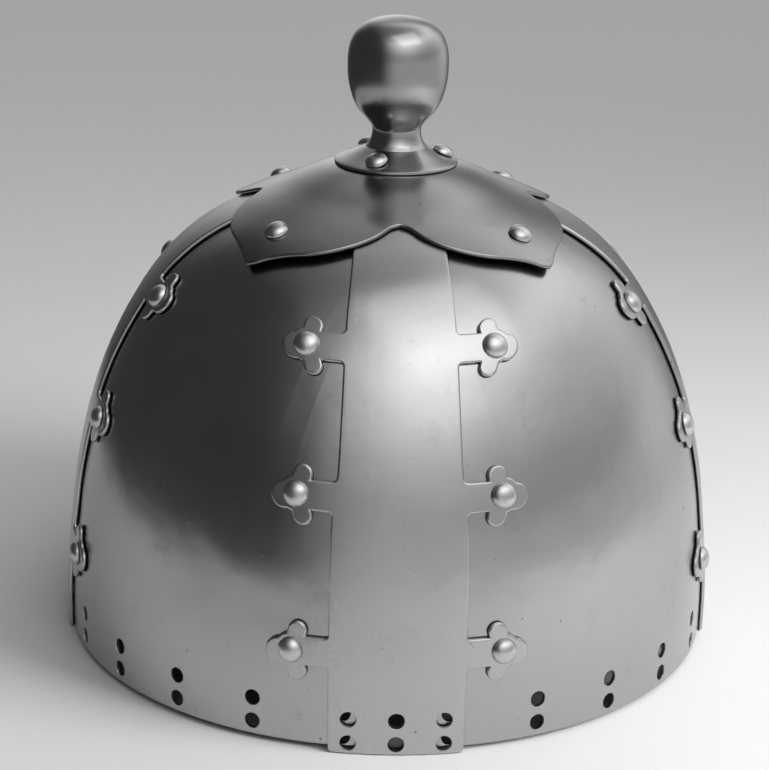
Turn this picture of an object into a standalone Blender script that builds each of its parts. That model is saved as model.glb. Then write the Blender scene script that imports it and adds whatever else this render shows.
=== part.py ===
"""Iron helmet with a riveted bowl.

Four quarter plates are joined under four bands with trefoil tabs, and a scalloped crown cap
holds their tops. A turned finial stands on the cap. Lengths are metres, Z is up, the rim lies
on Z = 0 and the front looks along -Y. Azimuth is counted from the front towards +X.
"""

import math

import bmesh
import bpy
from mathutils import Matrix, Vector
from mathutils.geometry import delaunay_2d_cdt

# The bowl
RIM_RADIUS = 0.110
DOME_HEIGHT = 0.158
QUARTERS = 4

# Sheet and fit
BAND_SHEET = 0.0013
PLATE_SHEET = 0.0014
CAP_SHEET = 0.0013
SEAT_GAP = 0.0003
HOLE_PLAY = 0.0003

# Bands
BAND_WIDTH = 0.0418
BAND_TOP_RADIUS = 0.038

# Trefoil tabs, seen flat, with the rivet at the middle of each
TAB_HEIGHT_LOW = 0.0321
TAB_HEIGHT_MID = 0.0793
TAB_HEIGHT_HIGH = 0.1198
TAB_RIVET_OUT = 0.0116
TAB_STEM_WIDTH = 0.0094
TAB_HUB_RADIUS = 0.0055
LOBE_RADIUS = 0.0031
LOBE_SPACING = 0.0123
LOBE_BACK = 0.0020
NOSE_RADIUS = 0.0042
NOSE_OUT = 0.0039
NOSE_DROP = 0.0007

# Plates
PLATE_RISE = 0.0014
PLATE_LAP = 0.0033
PLATE_TOP_RADIUS = 0.022
PLATE_JOINT = 0.0004

# Lace holes
LACE_BORE = 0.0050
PLATE_LACE_LOW = 0.0061
BAND_LACE_LOW = 0.0037
HIDDEN_LACE_LOW = 0.0049
LACE_ROW_STEP = 0.0078
LACE_FIRST = 0.0450
LACE_PITCH = 0.0280
BAND_LACE_PITCH = 0.0146
HIDDEN_LACE_OUT = 0.0163

# Crown cap
CAP_REACH = 0.0660
CAP_RIVET_INSET = 0.0128

# Finial
FLANGE_RADIUS = 0.0202
FLANGE_EDGE = 0.0010
CREASE_RADIUS = 0.0100
NECK_RADIUS = 0.0079
KNOB_RADIUS = 0.01635
FINIAL_RISE = 0.0480
FINIAL_RIVET_INSET = 0.0048
FINIAL_RIVETS = 3
FINIAL_RIVET_TURN = -26.0

# Rivets
HEAD_DIAMETER = 0.0081
HEAD_HEIGHT = 0.0025
FINIAL_HEAD_DIAMETER = 0.0075
FINIAL_HEAD_HEIGHT = 0.0021
SHANK_DIAMETER = 0.0030
PEEN_DIAMETER = 0.0056
PEEN_HEIGHT = 0.0010

# Facets
ROW_STEP = 0.0190
ROW_TURN = 11.0
BAND_COLUMN_STEP = 0.0108
PLATE_COLUMN_STEP = 0.0225
CAP_STEP = 0.0120
RIVET_SIDES = 7
RIVET_HOLE_SIDES = 6
LACE_SIDES = 8
FINIAL_SIDES = 18
TAB_STEP = 24.0
SPOT_CLEARANCE = 0.0035

# Line of the bowl along the outer face of the bands, from the rim to the top
# height / DOME_HEIGHT, radius / RIM_RADIUS
DOME_LINE = (
    (0.000, 1.000),
    (0.127, 0.997),
    (0.253, 0.979),
    (0.380, 0.954),
    (0.506, 0.911),
    (0.601, 0.861),
    (0.696, 0.792),
    (0.772, 0.721),
    (0.835, 0.637),
    (0.886, 0.533),
    (0.918, 0.439),
    (0.949, 0.330),
    (0.9725, 0.256),
    (0.9915, 0.180),
    (0.999, 0.090),
    (1.000, 0.000),
)

# Width of a band up the bowl
# height / DOME_HEIGHT, width / BAND_WIDTH
BAND_TAPER = (
    (0.00, 1.00),
    (0.24, 1.01),
    (0.46, 0.99),
    (0.54, 0.91),
    (0.66, 0.86),
    (0.79, 0.81),
    (0.91, 0.70),
    (1.00, 0.64),
)

# Edge of the crown cap over one eighth of a turn, from the notch over a band to the point
# angle / half a quarter turn, radius / CAP_REACH
CAP_EDGE = (
    (0.00, 0.658),
    (0.08, 0.680),
    (0.17, 0.736),
    (0.30, 0.797),
    (0.45, 0.850),
    (0.60, 0.889),
    (0.76, 0.918),
    (0.88, 0.953),
    (0.95, 0.985),
    (1.00, 1.000),
)

# Waist of the finial, from the crease on its flange up to the neck
# height / FINIAL_RISE, share of the way from NECK_RADIUS to CREASE_RADIUS
WAIST_LINE = (
    (0.119, 1.00),
    (0.146, 0.52),
    (0.186, 0.14),
    (0.224, 0.00),
)

# Underside of the knob, from the neck to its widest
# height / FINIAL_RISE, share of the way from NECK_RADIUS to KNOB_RADIUS
KNOB_UNDER = (
    (0.279, 0.10),
    (0.340, 0.41),
    (0.402, 0.66),
    (0.484, 0.85),
    (0.585, 0.97),
)

# Top of the knob, from its widest to the pole
# height / FINIAL_RISE, radius / KNOB_RADIUS
KNOB_OVER = (
    (0.690, 1.00),
    (0.790, 0.97),
    (0.870, 0.89),
    (0.929, 0.74),
    (0.975, 0.50),
    (1.000, 0.00),
)

# Domed head of a rivet, height / head height, radius / half the head diameter
RIVET_DOME = (
    (1.00, 0.00),
    (0.64, 0.76),
    (0.00, 1.00),
)

# Places of the sheets, measured outwards from the bowl line
BAND_OUT = 0.0
BAND_IN = -BAND_SHEET
PLATE_OUT = BAND_IN - SEAT_GAP
PLATE_IN = PLATE_OUT - PLATE_SHEET
CAP_IN = SEAT_GAP
CAP_OUT = CAP_IN + CAP_SHEET
FLANGE_SEAT = CAP_OUT + SEAT_GAP

# Places of the rivets
TAB_HEIGHTS = {"low": TAB_HEIGHT_LOW, "mid": TAB_HEIGHT_MID, "high": TAB_HEIGHT_HIGH}
CAP_RIVET_RADIUS = CAP_REACH - CAP_RIVET_INSET
FINIAL_RIVET_RADIUS = FLANGE_RADIUS - FINIAL_RIVET_INSET

IRON = {
    "plate": ((0.30, 0.30, 0.31, 1.0), 0.30),
    "band": ((0.36, 0.36, 0.37, 1.0), 0.34),
    "cap": ((0.28, 0.28, 0.29, 1.0), 0.30),
    "finial": ((0.24, 0.24, 0.25, 1.0), 0.26),
    "rivet": ((0.46, 0.46, 0.46, 1.0), 0.28),
}


def clear_scene():
    for old in list(bpy.data.objects):
        bpy.data.objects.remove(old, do_unlink=True)


def between(table, at):
    """Value of a two column table at a place in its first column."""
    for (x0, y0), (x1, y1) in zip(table, table[1:]):
        if at <= x1:
            return y0 + (y1 - y0) * max(at - x0, 0.0) / (x1 - x0)
    return table[-1][1]


class Bowl:
    """Smooth line of the bowl, followed by its length from the rim."""

    def __init__(self, steps=24):
        knots = [Vector((r * RIM_RADIUS, h * DOME_HEIGHT)) for h, r in DOME_LINE]
        chords = [(b - a).length for a, b in zip(knots, knots[1:])]
        slopes = [Vector((0.0, 1.0))]
        for i in range(1, len(knots) - 1):
            before = (knots[i] - knots[i - 1]) / chords[i - 1]
            after = (knots[i + 1] - knots[i]) / chords[i]
            share = chords[i - 1] / (chords[i - 1] + chords[i])
            slopes.append(before.lerp(after, share))
        slopes.append(Vector((-1.0, 0.0)))
        self.points = [knots[0]]
        for i, chord in enumerate(chords):
            for step in range(1, steps + 1):
                t = step / steps
                self.points.append(
                    knots[i] * (2 * t**3 - 3 * t**2 + 1)
                    + slopes[i] * chord * (t**3 - 2 * t**2 + t)
                    + knots[i + 1] * (3 * t**2 - 2 * t**3)
                    + slopes[i + 1] * chord * (t**3 - t**2)
                )
        self.lengths = [0.0]
        for a, b in zip(self.points, self.points[1:]):
            self.lengths.append(self.lengths[-1] + (b - a).length)
        self.normals = []
        last = len(self.points) - 1
        for i in range(last + 1):
            run = self.points[min(i + 1, last)] - self.points[max(i - 1, 0)]
            self.normals.append(Vector((run.y, -run.x)).normalized())
        self.normals[0] = Vector((1.0, 0.0))
        self.normals[last] = Vector((0.0, 1.0))

    def _find(self, values, at, falling=False):
        low, high = 0, len(values) - 1
        while high - low > 1:
            middle = (low + high) // 2
            if (values[middle] > at) != falling:
                high = middle
            else:
                low = middle
        span = values[high] - values[low]
        share = (at - values[low]) / span if span else 0.0
        return low, high, min(max(share, 0.0), 1.0)

    def at(self, length):
        """Point and outward normal, as radius and height, at a length from the rim."""
        low, high, share = self._find(self.lengths, length)
        point = self.points[low].lerp(self.points[high], share)
        normal = self.normals[low].lerp(self.normals[high], share).normalized()
        return point, normal

    def length_at_height(self, height):
        low, high, share = self._find([p.y for p in self.points], height)
        return self.lengths[low] + (self.lengths[high] - self.lengths[low]) * share

    def length_at_radius(self, radius):
        """Length to the place above the widest part where the bowl has this radius."""
        radii = [p.x for p in self.points]
        widest = radii.index(max(radii))
        low, high, share = self._find(radii[widest:], radius, falling=True)
        start, end = self.lengths[widest + low], self.lengths[widest + high]
        return start + (end - start) * share

    def radius(self, length):
        return self.at(length)[0].x

    def place(self, azimuth, length, offset=0.0):
        """Point of space at an azimuth, a length from the rim and an offset outwards."""
        point, normal = self.at(length)
        radius = point.x + normal.x * offset
        height = point.y + normal.y * offset
        return Vector((radius * math.sin(azimuth), -radius * math.cos(azimuth), height))

    def outward(self, azimuth, length):
        normal = self.at(length)[1]
        return Vector((normal.x * math.sin(azimuth), -normal.x * math.cos(azimuth), normal.y))


BOWL = Bowl()


def strip(centre):
    """Placing rule for a sheet laid out as arc from its centre line and length up the bowl."""

    def place(point, offset):
        return BOWL.place(centre + point[0] / BOWL.radius(point[1]), point[1], offset)

    return place


def crown(point, offset):
    """Placing rule for the cap, laid out in plan."""
    radius = math.hypot(point[0], point[1])
    azimuth = math.atan2(point[0], -point[1])
    return BOWL.place(azimuth, BOWL.length_at_radius(radius), offset)


def ring(centre, radius, sides):
    """Hole outline whose flats lie at the radius."""
    reach = radius / math.cos(math.pi / sides)
    turns = [2 * math.pi * (k + 0.5) / sides for k in range(sides)]
    return [(centre[0] + reach * math.cos(a), centre[1] + reach * math.sin(a)) for a in turns]


def inside(point, loop):
    x, y = point
    found = False
    for (x0, y0), (x1, y1) in zip(loop, loop[1:] + loop[:1]):
        if (y0 > y) != (y1 > y) and x < x0 + (y - y0) * (x1 - x0) / (y1 - y0):
            found = not found
    return found


def iron(kind, name):
    colour, roughness = IRON[kind]
    material = bpy.data.materials.new(name + "_iron")
    material.use_nodes = True
    shader = material.node_tree.nodes["Principled BSDF"]
    shader.inputs["Base Color"].default_value = colour
    shader.inputs["Roughness"].default_value = roughness
    shader.inputs["Metallic"].default_value = 1.0
    return material


def finish(name, kind, mesh):
    """Put a finished mesh in the scene as a shaded piece."""
    mesh.shade_smooth()
    mesh.set_sharp_from_angle(angle=math.radians(32.0))
    piece = bpy.data.objects.new(name, mesh)
    piece.data.materials.append(iron(kind, name))
    bpy.context.scene.collection.objects.link(piece)
    return piece


def sheet(name, kind, outline, holes, spots, place, outer, inner):
    """Bent sheet with holes, between two offsets from the bowl line.

    The outline runs anticlockwise as seen from outside, and spots are extra corners inside it.
    """
    loops = [outline] + holes
    corners = [c for loop in loops for c in loop]
    fill = [
        s for s in spots
        if inside(s, outline)
        and not any(inside(s, hole) for hole in holes)
        and all(math.hypot(s[0] - c[0], s[1] - c[1]) > SPOT_CLEARANCE for c in corners)
    ]
    edges = []
    start = 0
    for loop in loops:
        count = len(loop)
        edges += [(start + k, start + (k + 1) % count) for k in range(count)]
        start += count
    flat = [Vector(p) for p in corners + fill]
    points, _, faces, _, _, _ = delaunay_2d_cdt(flat, edges, [], 0, 1e-7)
    kept = []
    for face in faces:
        middle = sum((points[i] for i in face), Vector((0.0, 0.0))) / len(face)
        if inside(middle, outline) and not any(inside(middle, hole) for hole in holes):
            kept.append(list(face))
    used = sorted({i for face in kept for i in face})

    model = bmesh.new()
    top = {i: model.verts.new(place(points[i], outer)) for i in used}
    low = {i: model.verts.new(place(points[i], inner)) for i in used}
    sides = {}
    for face in kept:
        model.faces.new([top[i] for i in face])
        model.faces.new([low[i] for i in reversed(face)])
        for a, b in zip(face, face[1:] + face[:1]):
            sides[(a, b)] = True
    for a, b in sides:
        if (b, a) not in sides:
            model.faces.new((top[b], top[a], low[a], low[b]))
    bmesh.ops.triangulate(model, faces=model.faces[:])
    mesh = bpy.data.meshes.new(name)
    model.to_mesh(mesh)
    model.free()
    return finish(name, kind, mesh)


def turned(name, kind, profile, sides, matrix):
    """Piece turned round its own Z from (radius, height) points, top to bottom."""
    model = bmesh.new()
    rings = []
    for radius, height in profile:
        if radius < 1e-6:
            rings.append([model.verts.new(matrix @ Vector((0.0, 0.0, height)))])
            continue
        turns = [2 * math.pi * k / sides for k in range(sides)]
        rings.append([
            model.verts.new(matrix @ Vector((radius * math.cos(a), radius * math.sin(a), height)))
            for a in turns
        ])
    for upper, lower in zip(rings, rings[1:]):
        for k in range(sides):
            n = (k + 1) % sides
            corners = [upper[k % len(upper)], lower[k % len(lower)]]
            corners += [lower[n % len(lower)], upper[n % len(upper)]]
            face = []
            for corner in corners:
                if corner not in face:
                    face.append(corner)
            model.faces.new(face)
    bmesh.ops.triangulate(model, faces=model.faces[:])
    mesh = bpy.data.meshes.new(name)
    model.to_mesh(mesh)
    model.free()
    return finish(name, kind, mesh)


def standing(point, axis):
    """Matrix that stands a turned piece at a point with its Z along an axis."""
    return Matrix.Translation(point) @ axis.to_track_quat("Z", "Y").to_matrix().to_4x4()


def rivet(name, seat, axis, grip, diameter=HEAD_DIAMETER, height=HEAD_HEIGHT):
    """Rivet whose head sits a gap off the seat, with its peened end behind the grip."""
    head = diameter / 2
    shank = SHANK_DIAMETER / 2
    peen = PEEN_DIAMETER / 2
    low = -(grip + 2 * SEAT_GAP)
    profile = [(r * head, h * height) for h, r in RIVET_DOME]
    profile += [(shank, 0.0), (shank, low), (peen, low), (0.0, low - PEEN_HEIGHT)]
    place = standing(seat + axis * SEAT_GAP, axis)
    return turned(name, "rivet", profile, RIVET_SIDES, place)


def rivet_hole(centre, play=HOLE_PLAY):
    return ring(centre, SHANK_DIAMETER / 2 + play, RIVET_HOLE_SIDES)


def rows_up(start, stop):
    """Lengths between two others, closer together where the bowl turns faster."""
    def measure(length):
        normal = BOWL.at(length)[1]
        turn = math.degrees(math.atan2(normal.y, normal.x))
        return length / ROW_STEP + turn / ROW_TURN

    first, last = measure(start), measure(stop)
    count = max(int(math.ceil(last - first)), 1)
    rows = [start]
    for k in range(1, count):
        low, high = start, stop
        for _ in range(30):
            middle = (low + high) / 2
            if measure(middle) < first + (last - first) * k / count:
                low = middle
            else:
                high = middle
        rows.append(high)
    return rows + [stop]


def band_half(length):
    """Half the width of a band at a length from the rim."""
    height = BOWL.at(length)[0].y
    return BAND_WIDTH / 2 * between(BAND_TAPER, height / DOME_HEIGHT)


def tab_rivet_spot(level):
    """Arc from the band's centre line and length from the rim of a tab's rivet."""
    length = BOWL.length_at_height(TAB_HEIGHTS[level])
    return band_half(length) + TAB_RIVET_OUT, length


def tab_reach(angle):
    """Distance from the rivet to the tab's edge, in the direction of an angle."""
    discs = (
        (0.0, 0.0, TAB_HUB_RADIUS),
        (-LOBE_BACK, LOBE_SPACING / 2, LOBE_RADIUS),
        (-LOBE_BACK, -LOBE_SPACING / 2, LOBE_RADIUS),
        (NOSE_OUT, -NOSE_DROP, NOSE_RADIUS),
    )
    along = Vector((math.cos(angle), math.sin(angle)))
    reach = 0.0
    for x, y, radius in discs:
        ahead = along.x * x + along.y * y
        aside = along.x * y - along.y * x
        if abs(aside) < radius:
            reach = max(reach, ahead + math.sqrt(radius**2 - aside**2))
    return reach


def tab_edge(step):
    """Edge of a tab round its rivet, from the foot of its stem below to the one above."""
    half = TAB_STEM_WIDTH / 2
    bite = math.sqrt(max(LOBE_RADIUS**2 - (LOBE_SPACING / 2 - half) ** 2, 0.0))
    corner = LOBE_BACK + bite
    start = -math.pi + math.atan2(half, corner)
    stop = -start
    count = int(round((stop - start) / math.radians(step)))
    turns = [start + (stop - start) * k / count for k in range(1, count)]
    edge = [(-corner, -half)]
    edge += [(tab_reach(a) * math.cos(a), tab_reach(a) * math.sin(a)) for a in turns]
    return edge + [(-corner, half)]


def band_side(top, step):
    """Right edge of a band with its three tabs, from the rim up."""
    half = TAB_STEM_WIDTH / 2
    edge = []
    last = 0.0
    for level in ("low", "mid", "high"):
        out, length = tab_rivet_spot(level)
        foot, head = length - half, length + half
        edge += [(band_half(s), s) for s in rows_up(last, foot)]
        edge += [(out + x, length + y) for x, y in tab_edge(step)]
        last = head
    edge += [(band_half(s), s) for s in rows_up(last, top)]
    return edge


def band_lace_spots():
    spots = []
    for row in range(2):
        length = BOWL.length_at_height(BAND_LACE_LOW + row * LACE_ROW_STEP)
        spots += [(column * BAND_LACE_PITCH, length) for column in (-1, 0, 1)]
    return spots


def band_columns(length):
    """Arcs of the inner corners across a band."""
    half = band_half(length)
    count = max(int(math.ceil(2 * half / BAND_COLUMN_STEP)), 2)
    return [half * (2 * k / count - 1) for k in range(1, count)]


def build_band(name, centre):
    top = BOWL.length_at_radius(BAND_TOP_RADIUS)
    right = band_side(top, TAB_STEP)
    outline = [(x, 0.0) for x in band_columns(0.0)] + right
    outline += [(x, top) for x in reversed(band_columns(top))]
    outline += [(-x, y) for x, y in reversed(right)]
    holes = [ring(spot, LACE_BORE / 2, LACE_SIDES) for spot in band_lace_spots()]
    for level in TAB_HEIGHTS:
        out, length = tab_rivet_spot(level)
        holes += [rivet_hole((side * out, length)) for side in (-1, 1)]
    spots = [(x, length) for length in rows_up(0.0, top)[1:-1] for x in band_columns(length)]
    sheet(name, "band", outline, holes, spots, strip(centre), BAND_OUT, BAND_IN)


def build_tab_rivets(name, centre):
    for level in TAB_HEIGHTS:
        out, length = tab_rivet_spot(level)
        for side, word in ((-1, "left"), (1, "right")):
            azimuth = centre + side * out / BOWL.radius(length)
            seat = BOWL.place(azimuth, length, BAND_OUT)
            rivet(
                "tab_rivet_%s_%s_%s" % (name, word, level),
                seat, BOWL.outward(azimuth, length), BAND_OUT - PLATE_IN,
            )


def build_plate(name, centre, forward):
    """Quarter plate; forward is +1 where azimuth grows from the near band, -1 where it falls."""
    quarter = 2 * math.pi / QUARTERS
    near = centre - forward * quarter / 2
    low = BOWL.length_at_height(PLATE_RISE)
    top = BOWL.length_at_radius(PLATE_TOP_RADIUS)
    shift = PLATE_LAP / RIM_RADIUS

    def across(length):
        """Arcs of the corners across the plate, from its left edge to its right."""
        radius = BOWL.radius(length)
        left = (shift - quarter / 2) * radius + PLATE_JOINT / 2
        right = (shift + quarter / 2) * radius - PLATE_JOINT / 2
        count = max(int(math.ceil((right - left) / PLATE_COLUMN_STEP)), 2)
        return [left + (right - left) * k / count for k in range(count + 1)]

    rows = rows_up(low, top)
    outline = [(x, low) for x in across(low)]
    outline += [(across(length)[-1], length) for length in rows[1:]]
    outline += [(x, top) for x in reversed(across(top)[:-1])]
    outline += [(across(length)[0], length) for length in reversed(rows[1:-1])]
    spots = [(x, length) for length in rows[1:-1] for x in across(length)[1:-1]]

    def spot(azimuth, length):
        return (azimuth - centre) * BOWL.radius(length), length

    holes = []
    outer = RIM_RADIUS + PLATE_OUT
    columns = int((quarter * outer - LACE_FIRST - LACE_BORE * 2) / LACE_PITCH) + 1
    pairs = [(HIDDEN_LACE_OUT, HIDDEN_LACE_LOW)]
    pairs += [(LACE_FIRST + column * LACE_PITCH, PLATE_LACE_LOW) for column in range(columns)]
    for out, height in pairs:
        for row in range(2):
            length = BOWL.length_at_height(height + row * LACE_ROW_STEP)
            middle = spot(near + forward * out / outer, length)
            holes.append(ring(middle, LACE_BORE / 2, LACE_SIDES))
    length = BOWL.length_at_height(BAND_LACE_LOW + LACE_ROW_STEP)
    right_band = centre + quarter / 2
    holes.append(ring(spot(right_band, length), LACE_BORE / 2, LACE_SIDES))
    for level in TAB_HEIGHTS:
        out, length = tab_rivet_spot(level)
        turn = quarter / 2 - out / BOWL.radius(length)
        holes += [rivet_hole(spot(centre + side * turn, length)) for side in (-1, 1)]
    length = BOWL.length_at_radius(CAP_RIVET_RADIUS)
    holes.append(rivet_hole(spot(centre, length)))
    sheet(name, "plate", outline, holes, spots, strip(centre), PLATE_OUT, PLATE_IN)


def cap_outline():
    eighth = math.pi / QUARTERS
    outline = []
    for quarter in range(QUARTERS):
        notch = quarter * 2 * eighth
        half = [(notch + share * eighth, reach * CAP_REACH) for share, reach in CAP_EDGE]
        back = [
            (notch + (2 - share) * eighth, reach * CAP_REACH)
            for share, reach in reversed(CAP_EDGE[:-1])
        ]
        for azimuth, radius in half + back[:-1]:
            outline.append((radius * math.sin(azimuth), -radius * math.cos(azimuth)))
    return outline


def cap_rivet_turns():
    return [(quarter + 0.5) * 2 * math.pi / QUARTERS for quarter in range(QUARTERS)]


def finial_rivet_turns():
    first = math.radians(FINIAL_RIVET_TURN)
    return [first + 2 * math.pi * k / FINIAL_RIVETS for k in range(FINIAL_RIVETS)]


def in_plan(azimuth, radius):
    return radius * math.sin(azimuth), -radius * math.cos(azimuth)


def build_cap():
    holes = [rivet_hole(in_plan(turn, CAP_RIVET_RADIUS)) for turn in cap_rivet_turns()]
    for turn in finial_rivet_turns():
        inner = flange_seat(turn)[2]
        holes.append(rivet_hole(in_plan(turn, inner.x), 3 * HOLE_PLAY))
    spots = [(0.0, 0.0)]
    rings = int(CAP_REACH / CAP_STEP)
    for index in range(1, rings + 1):
        radius = CAP_REACH * index / (rings + 0.5)
        count = QUARTERS * max(int(round(2 * math.pi * radius / CAP_STEP / QUARTERS)), 2)
        spots += [in_plan(2 * math.pi * k / count, radius) for k in range(count)]
    sheet("crown_cap", "cap", cap_outline(), holes, spots, crown, CAP_OUT, CAP_IN)


def build_cap_rivets():
    length = BOWL.length_at_radius(CAP_RIVET_RADIUS)
    words = ("front_right", "back_right", "back_left", "front_left")
    for turn, word in zip(cap_rivet_turns(), words):
        seat = BOWL.place(turn, length, CAP_OUT)
        rivet("cap_rivet_" + word, seat, BOWL.outward(turn, length), CAP_OUT - PLATE_IN)


def finial_profile():
    """Half section of the finial, as radius and height, from the pole down and under."""
    def lift(share):
        return DOME_HEIGHT + share * FINIAL_RISE

    profile = [(share * KNOB_RADIUS, lift(h)) for h, share in reversed(KNOB_OVER)]
    swell = KNOB_RADIUS - NECK_RADIUS
    profile += [(NECK_RADIUS + share * swell, lift(h)) for h, share in reversed(KNOB_UNDER)]
    flare = CREASE_RADIUS - NECK_RADIUS
    profile += [(NECK_RADIUS + share * flare, lift(h)) for h, share in reversed(WAIST_LINE)]
    under = []
    for share in (1.0, 0.75, 0.5, 0.25):
        point = crown((0.0, -share * FLANGE_RADIUS), FLANGE_SEAT)
        under.append((share * FLANGE_RADIUS, point.z))
    under.append((0.0, DOME_HEIGHT + FLANGE_SEAT))
    profile.append((FLANGE_RADIUS, under[0][1] + FLANGE_EDGE))
    return profile + under


def flange_seat(turn):
    """Seat of a finial rivet on the flange, its axis, where it leaves the cap, and its grip."""
    profile = finial_profile()
    crease = Vector((CREASE_RADIUS, DOME_HEIGHT + WAIST_LINE[0][0] * FINIAL_RISE))
    rim = Vector(next(p for p in profile if p[0] == FLANGE_RADIUS))
    share = (FINIAL_RIVET_RADIUS - crease.x) / (rim.x - crease.x)
    seat = crease.lerp(rim, share)
    slope = Vector((crease.y - rim.y, rim.x - crease.x)).normalized()
    inner = seat.copy()
    for _ in range(8):
        point, normal = BOWL.at(BOWL.length_at_radius(inner.x))
        inner -= slope * ((inner - point).dot(normal) - CAP_IN) / slope.dot(normal)
    slant = abs(slope.x * normal.y - slope.y * normal.x) / slope.dot(normal)
    grip = (seat - inner).length + slant * PEEN_DIAMETER / 2
    return spin_up(seat, turn), spin_up(slope, turn), inner, grip


def spin_up(flat, turn):
    """Vector of space from a radius and a height at an azimuth."""
    return Vector((flat.x * math.sin(turn), -flat.x * math.cos(turn), flat.y))


def build_finial():
    finial = turned("finial", "finial", finial_profile(), FINIAL_SIDES, Matrix())
    for index, turn in enumerate(finial_rivet_turns()):
        seat, axis, _, grip = flange_seat(turn)
        reach = (SHANK_DIAMETER / 2 + HOLE_PLAY) / math.cos(math.pi / RIVET_HOLE_SIDES)
        model = bmesh.new()
        bmesh.ops.create_cone(
            model, cap_ends=True, segments=RIVET_HOLE_SIDES, radius1=reach, radius2=reach,
            depth=4 * grip, matrix=standing(seat, axis),
        )
        mesh = bpy.data.meshes.new("flange_hole_%d" % (index + 1))
        model.to_mesh(mesh)
        model.free()
        cutter = bpy.data.objects.new("flange_hole_%d" % (index + 1), mesh)
        cutter.display_type = "WIRE"
        cutter.hide_render = True
        bpy.context.scene.collection.objects.link(cutter)
        cut = finial.modifiers.new("rivet_hole_%d" % (index + 1), "BOOLEAN")
        cut.operation = "DIFFERENCE"
        cut.solver = "EXACT"
        cut.object = cutter
        rivet(
            "finial_rivet_%d" % (index + 1), seat, axis, grip,
            FINIAL_HEAD_DIAMETER, FINIAL_HEAD_HEIGHT,
        )


def build():
    clear_scene()
    quarter = 2 * math.pi / QUARTERS
    for index, name in enumerate(("front", "right", "back", "left")):
        build_band("band_" + name, index * quarter)
        build_tab_rivets(name, index * quarter)
    plates = (("front_right", 0.5, 1), ("back_right", 1.5, -1),
              ("back_left", 2.5, 1), ("front_left", 3.5, -1))
    for name, turns, forward in plates:
        build_plate("plate_" + name, turns * quarter, forward)
    build_cap()
    build_cap_rivets()
    build_finial()


build()
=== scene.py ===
"""Riveted iron helmet: finished sheets, rivets and finial in place of the plain ones."""

import math
import random

import bmesh
import bpy
from mathutils import Matrix, Vector, noise


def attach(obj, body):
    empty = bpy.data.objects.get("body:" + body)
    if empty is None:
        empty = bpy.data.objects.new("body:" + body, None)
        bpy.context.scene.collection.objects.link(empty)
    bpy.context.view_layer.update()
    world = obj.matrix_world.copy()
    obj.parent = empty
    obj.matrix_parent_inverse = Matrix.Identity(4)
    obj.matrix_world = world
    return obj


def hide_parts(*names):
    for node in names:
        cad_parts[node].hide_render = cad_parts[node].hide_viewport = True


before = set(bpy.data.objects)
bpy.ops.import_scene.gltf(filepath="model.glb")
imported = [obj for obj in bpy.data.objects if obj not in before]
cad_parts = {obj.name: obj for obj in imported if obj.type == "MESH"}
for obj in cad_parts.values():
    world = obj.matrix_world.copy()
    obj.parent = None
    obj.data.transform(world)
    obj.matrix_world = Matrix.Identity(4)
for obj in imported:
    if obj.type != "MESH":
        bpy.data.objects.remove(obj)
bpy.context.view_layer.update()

# Sizes in metres and turns in degrees, as in the part
RIM_RADIUS = 0.110
DOME_HEIGHT = 0.158
QUARTER = math.pi / 2
BAND_SHEET = 0.0013
PLATE_SHEET = 0.0014
CAP_SHEET = 0.0013
SEAT_GAP = 0.0003
BAND_WIDTH = 0.0418
BAND_TOP_RADIUS = 0.038
TAB_HEIGHTS = {"low": 0.0321, "mid": 0.0793, "high": 0.1198}
TAB_RIVET_OUT = 0.0116
TAB_STEM_WIDTH = 0.0094
TAB_HUB_RADIUS = 0.0055
LOBE_RADIUS = 0.0031
LOBE_SPACING = 0.0123
LOBE_BACK = 0.0020
NOSE_RADIUS = 0.0042
NOSE_OUT = 0.0039
NOSE_DROP = 0.0007
PLATE_RISE = 0.0014
PLATE_LAP = 0.0033
PLATE_TOP_RADIUS = 0.022
PLATE_JOINT = 0.0004
LACE_BORE = 0.0050
PLATE_LACE_LOW = 0.0061
BAND_LACE_LOW = 0.0037
HIDDEN_LACE_LOW = 0.0049
LACE_ROW_STEP = 0.0078
LACE_FIRST = 0.0450
LACE_PITCH = 0.0280
BAND_LACE_PITCH = 0.0146
HIDDEN_LACE_OUT = 0.0163
CAP_REACH = 0.0660
CAP_RIVET_RADIUS = 0.0532
FLANGE_RADIUS = 0.0202
FLANGE_EDGE = 0.0010
CREASE_RADIUS = 0.0100
KNOB_RADIUS = 0.01635
FINIAL_RISE = 0.0480
FINIAL_RIVET_RADIUS = 0.0154
FINIAL_RIVETS = 3
FINIAL_RIVET_TURN = -26.0
HEAD_DIAMETER = 0.0081
HEAD_HEIGHT = 0.0025
FINIAL_HEAD_DIAMETER = 0.0075
FINIAL_HEAD_HEIGHT = 0.0021
SHANK_DIAMETER = 0.0030
PEEN_DIAMETER = 0.0056
PEEN_HEIGHT = 0.0010

# Fineness of the finished pieces: steps in metres, tab steps and sharp angle in degrees
BOWL_STEPS = 24
NORMAL_REACH = 4
SCORE_STEP = 0.0025
BAND_EDGE_STEP = 0.006
PLATE_EDGE_STEP = 0.004
TAB_EDGE_STEP = 5.0
CAP_EDGE_STEPS = 32
LACE_SIDES = 32
RIVET_SIDES = 32
HEAD_ROWS = 12
KNOB_SIDES = 96
KNOB_ROWS = 72
FLANGE_ROWS = 8
SHARP_ANGLE = 38.0

# Filed and rounded edges; the turns, in radians, tell corners and edges from flat sheet
PUNCH_MARGIN = LACE_ROW_STEP / 2
OUTER_ROUND = 0.0007
HOLE_ROUND = 0.0002
INNER_ROUND = 0.0002
CORNER_ROUND = 0.0012
CORNER_TURN = 1.0
EDGE_TURN = 1.2
HEAD_LIP = 0.0001
HEAD_SINK = 0.00015
PEEN_LIP = 0.0002
PEEN_FLARE = 0.0003
FLANGE_ROUND = 0.0002
FLANGE_SAG = 0.0002

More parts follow.
